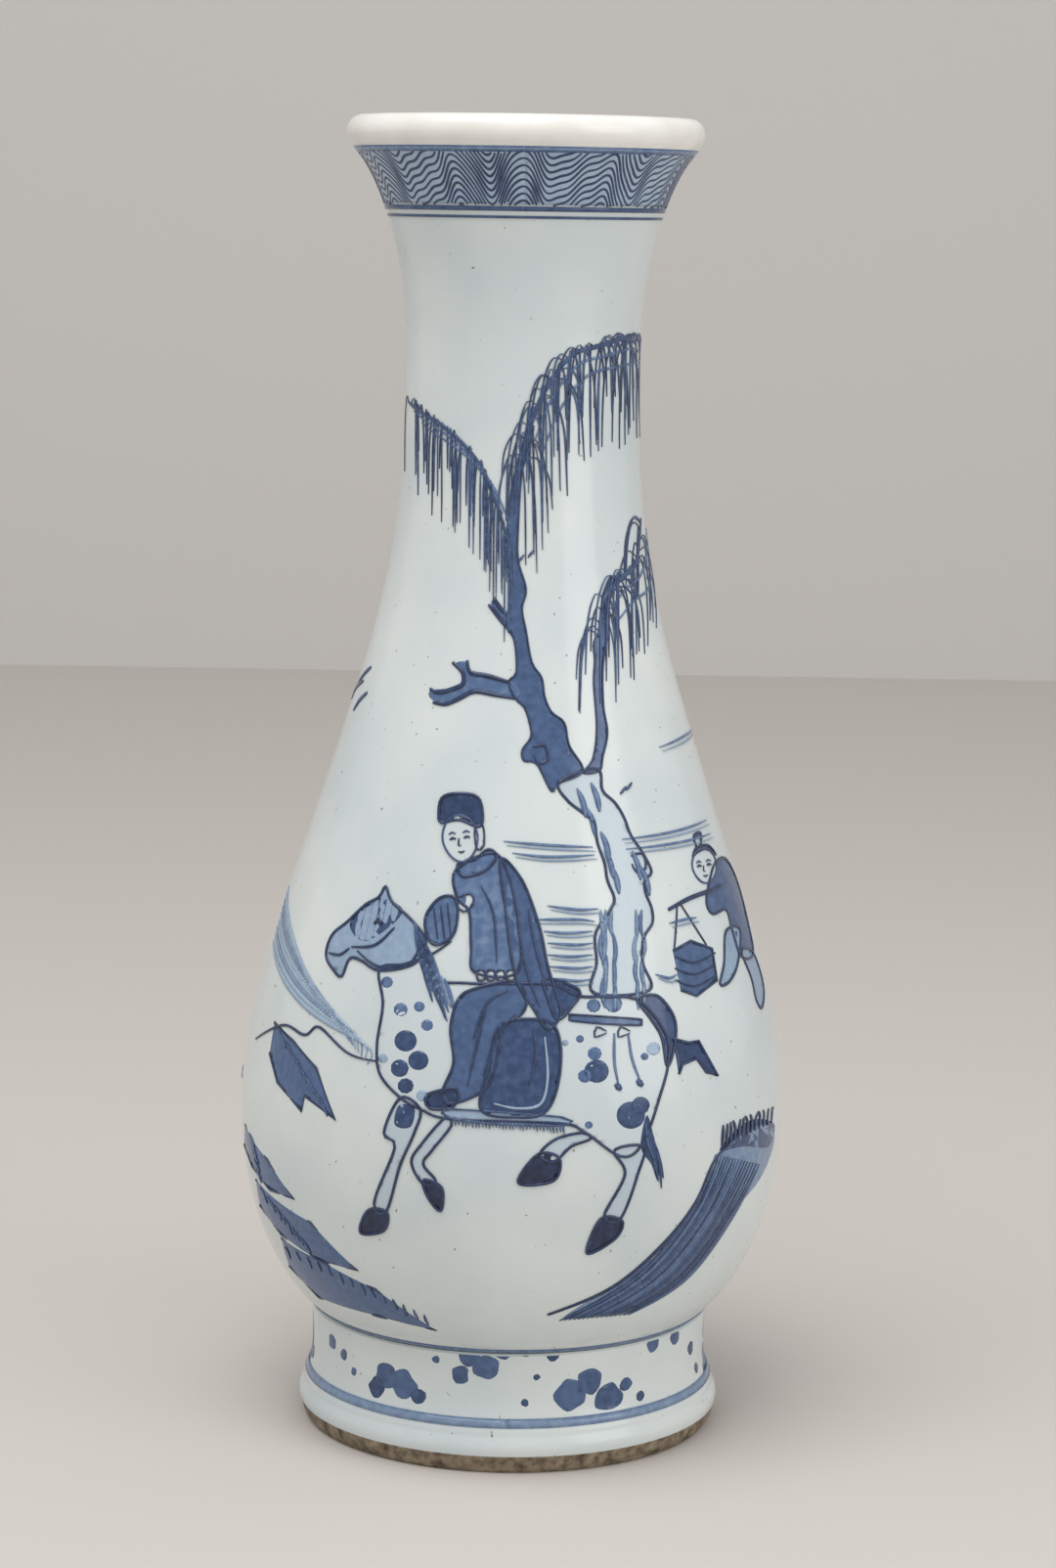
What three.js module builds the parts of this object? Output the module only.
// A blue and white porcelain vase, built as such vases are thrown: turned sections of porcelain,
// luted end to end with thin rings of slip, then glazed and fired as one.
// Millimetres, +Z up. The origin is the middle of the foot's resting face.
import * as THREE from "three";

const SIDES = 40; // flats round each turned piece
const CURVE_STEPS = 6; // chords along each curve of a wall

// Heights of the sections, from the foot up
const FOOT_HEIGHT = 36;
const LOWER_BELLY_HEIGHT = 60;
const UPPER_BELLY_HEIGHT = 102.4;
const NECK_HEIGHT = 124; // shoulder joint to waist
const MOUTH_HEIGHT = 64; // waist to the lip's seat
const SLIP_THICKNESS = 0.8;

// Outer radii where the sections meet, and at the waist of the neck
const FOOT_TOP_RADIUS = 61;
const BELLY_RADIUS = 83.4;
const SHOULDER_RADIUS = 57.5;
const WAIST_RADIUS = 34.9;
const MOUTH_RADIUS = 51.2;

// Foot ring: a narrow tread, a rounded roll, a turned groove and a ledge, hollow underneath
const TREAD_RADIUS = 62.5;
const TREAD_WIDTH = 7;
const ROLL_RADIUS = 65.2;
const GROOVE_RADIUS = 63.4;
const GROOVE_HEIGHT = 12.2;
const LEDGE_RADIUS = 62.4;
const LEDGE_HEIGHT = 15.2;
const FOOT_HOLLOW_RADIUS = 60.6; // narrowest part of the foot's side
const FOOT_WALL = 7.5;
const FOOT_GROOVE = 0.6; // depth of the line where foot and belly were luted

// Wall thicknesses
const BELLY_WALL = 5;
const SHOULDER_WALL = 4.6;
const NECK_WALL = 4.2;
const FLOOR = 7;
const FLOOR_RADIUS = 40;
const SLIP_BEAD = 1; // slip squeezed out inside a joint
const LIP_HALF_WIDTH = 4.2;
const LIP_HALF_HEIGHT = 4.7;
const LIP_SPREAD = THREE.MathUtils.degToRad(145); // how far the roll wraps each way from its crown
const LIP_STEPS = 14;

// How far each wall curve runs on straight from its ends, as the handles of its curve
const SHOULDER_SLOPE = 0.325;
const FOOT_END_SPREAD = 12;
const FOOT_END_REACH = 10;
const BELLY_REACH_DOWN = 28;
const BELLY_REACH_UP = 35;
const SHOULDER_REACH_DOWN = 35;
const SHOULDER_REACH_UP = 45;
const WAIST_REACH_DOWN = 55;
const WAIST_REACH_UP = 27;
const MOUTH_SPREAD = 10;
const MOUTH_REACH = 10;
const BOWL_REACH_DOWN = 31;
const BOWL_REACH_IN = 22;

// Levels of the joints
const LOWER_BELLY_BASE = FOOT_HEIGHT + SLIP_THICKNESS;
const LOWER_BELLY_TOP = LOWER_BELLY_BASE + LOWER_BELLY_HEIGHT;
const UPPER_BELLY_BASE = LOWER_BELLY_TOP + SLIP_THICKNESS;
const UPPER_BELLY_TOP = UPPER_BELLY_BASE + UPPER_BELLY_HEIGHT;
const NECK_BASE = UPPER_BELLY_TOP + SLIP_THICKNESS;
const WAIST = NECK_BASE + NECK_HEIGHT;
const LIP_SEAT = WAIST + MOUTH_HEIGHT;

const FINISHES = {
  glaze: { color: "#d3dad9", roughness: 0.15 },
  lip: { color: "#ece9e2", roughness: 0.15 },
  slip: { color: "#e8e4da", roughness: 0.8 },
};

const at = (radius, height) => new THREE.Vector2(radius, height);

// Points along a wall curve given by its two ends and the handles between them.
function wall(start, startHandle, endHandle, end) {
  return new THREE.CubicBezierCurve(start, startHandle, endHandle, end).getPoints(CURVE_STEPS);
}

// Points along a curve that reaches a given radius halfway between two ends.
function hollow(start, middleRadius, end) {
  const middle = at(2 * middleRadius - (start.x + end.x) / 2, (start.y + end.y) / 2);
  return new THREE.QuadraticBezierCurve(start, middle, end).getPoints(CURVE_STEPS);
}

// The inner side of a wall, from its top down, for a thickness that changes evenly with height.
function inside(outer, baseWall, topWall) {
  const base = outer[0].y;
  const height = outer[outer.length - 1].y - base;
  const inner = outer.map((p) => {
    const thickness = baseWall + ((topWall - baseWall) * (p.y - base)) / height;
    return at(p.x - thickness, p.y);
  });
  return inner.reverse();
}

// A piece turned from a profile that runs up its outside and down its inside.
function turned(name, profile, finish) {
  const material = new THREE.MeshStandardMaterial({ ...FINISHES[finish], metalness: 0 });
  const mesh = new THREE.Mesh(new THREE.LatheGeometry(profile, SIDES), material);
  mesh.name = name;
  mesh.rotation.x = Math.PI / 2; // the lathe's axis stands upright
  return mesh;
}

// A thin flat ring of slip on top of a section.
function slipSeam(name, base, outerRadius, innerRadius) {
  const top = base + SLIP_THICKNESS;
  const corners = [at(outerRadius, base), at(outerRadius, top), at(innerRadius, top), at(innerRadius, base)];
  return turned(name, [...corners, corners[0]], "slip");
}

function footRing() {
  const inner = FOOT_TOP_RADIUS - FOOT_WALL;
  const tread = at(TREAD_RADIUS, 0);
  const profile = [
    at(TREAD_RADIUS - TREAD_WIDTH, 0),
    ...hollow(tread, ROLL_RADIUS, at(GROOVE_RADIUS, GROOVE_HEIGHT)),
    ...hollow(at(LEDGE_RADIUS, LEDGE_HEIGHT), FOOT_HOLLOW_RADIUS, at(FOOT_TOP_RADIUS, FOOT_HEIGHT)),
    at(inner, FOOT_HEIGHT),
  ];
  return turned("foot_ring", [...profile, profile[0]], "glaze");
}

// The bowl of the vase, whose floor closes the foot ring.
function lowerBelly() {
  const innerRadius = BELLY_RADIUS - BELLY_WALL;
  const floorTop = LOWER_BELLY_BASE + FLOOR;
  const outer = wall(
    at(FOOT_TOP_RADIUS, LOWER_BELLY_BASE),
    at(FOOT_TOP_RADIUS + FOOT_END_SPREAD, LOWER_BELLY_BASE + FOOT_END_REACH),
    at(BELLY_RADIUS, LOWER_BELLY_TOP - BELLY_REACH_DOWN),
    at(BELLY_RADIUS, LOWER_BELLY_TOP),
  );
  const inner = wall(
    at(innerRadius, LOWER_BELLY_TOP),
    at(innerRadius, LOWER_BELLY_TOP - BOWL_REACH_DOWN),
    at(FLOOR_RADIUS + BOWL_REACH_IN, floorTop),
    at(FLOOR_RADIUS, floorTop),
  );
  return turned("lower_belly", [at(0, LOWER_BELLY_BASE), ...outer, ...inner, at(0, floorTop)], "glaze");
}

function upperBelly() {
  const outer = wall(
    at(BELLY_RADIUS, UPPER_BELLY_BASE),
    at(BELLY_RADIUS, UPPER_BELLY_BASE + BELLY_REACH_UP),
    at(SHOULDER_RADIUS + SHOULDER_SLOPE * SHOULDER_REACH_DOWN, UPPER_BELLY_TOP - SHOULDER_REACH_DOWN),
    at(SHOULDER_RADIUS, UPPER_BELLY_TOP),
  );
  const profile = [...outer, ...inside(outer, BELLY_WALL, SHOULDER_WALL)];
  return turned("upper_belly", [...profile, profile[0]], "glaze");
}

// The neck narrows to its waist and flares to the mouth in one piece.
function neck() {
  const lower = wall(
    at(SHOULDER_RADIUS, NECK_BASE),
    at(SHOULDER_RADIUS - SHOULDER_SLOPE * SHOULDER_REACH_UP, NECK_BASE + SHOULDER_REACH_UP),
    at(WAIST_RADIUS, WAIST - WAIST_REACH_DOWN),
    at(WAIST_RADIUS, WAIST),
  );
  const upper = wall(
    at(WAIST_RADIUS, WAIST),
    at(WAIST_RADIUS, WAIST + WAIST_REACH_UP),
    at(MOUTH_RADIUS - MOUTH_SPREAD, LIP_SEAT - MOUTH_REACH),
    at(MOUTH_RADIUS, LIP_SEAT),
  );
  const outer = [...lower, ...upper.slice(1)];
  const profile = [...outer, ...inside(outer, SHOULDER_WALL, NECK_WALL)];
  return turned("neck", [...profile, profile[0]], "glaze");
}

// The white lip, a rounded roll seated on the end of the mouth's wall.
function lipRing() {
  const centre = at(MOUTH_RADIUS - NECK_WALL / 2, LIP_SEAT + LIP_HALF_HEIGHT);
  const crown = Math.PI / 2;
  const roll = new THREE.EllipseCurve(
    centre.x, centre.y, LIP_HALF_WIDTH, LIP_HALF_HEIGHT, crown - LIP_SPREAD, crown + LIP_SPREAD,
  ).getPoints(LIP_STEPS);
  const outerSeat = at(MOUTH_RADIUS, LIP_SEAT);
  return turned("lip_ring", [outerSeat, ...roll, at(MOUTH_RADIUS - NECK_WALL, LIP_SEAT), outerSeat], "lip");
}

const vase = new THREE.Group();
vase.add(
  footRing(),
  slipSeam("foot_slip_seam", FOOT_HEIGHT, FOOT_TOP_RADIUS - FOOT_GROOVE, FOOT_TOP_RADIUS - FOOT_WALL),
  lowerBelly(),
  slipSeam("belly_slip_seam", LOWER_BELLY_TOP, BELLY_RADIUS, BELLY_RADIUS - BELLY_WALL - SLIP_BEAD),
  upperBelly(),
  slipSeam(
    "shoulder_slip_seam", UPPER_BELLY_TOP, SHOULDER_RADIUS, SHOULDER_RADIUS - SHOULDER_WALL - SLIP_BEAD,
  ),
  neck(),
  lipRing(),
);

export default vase;
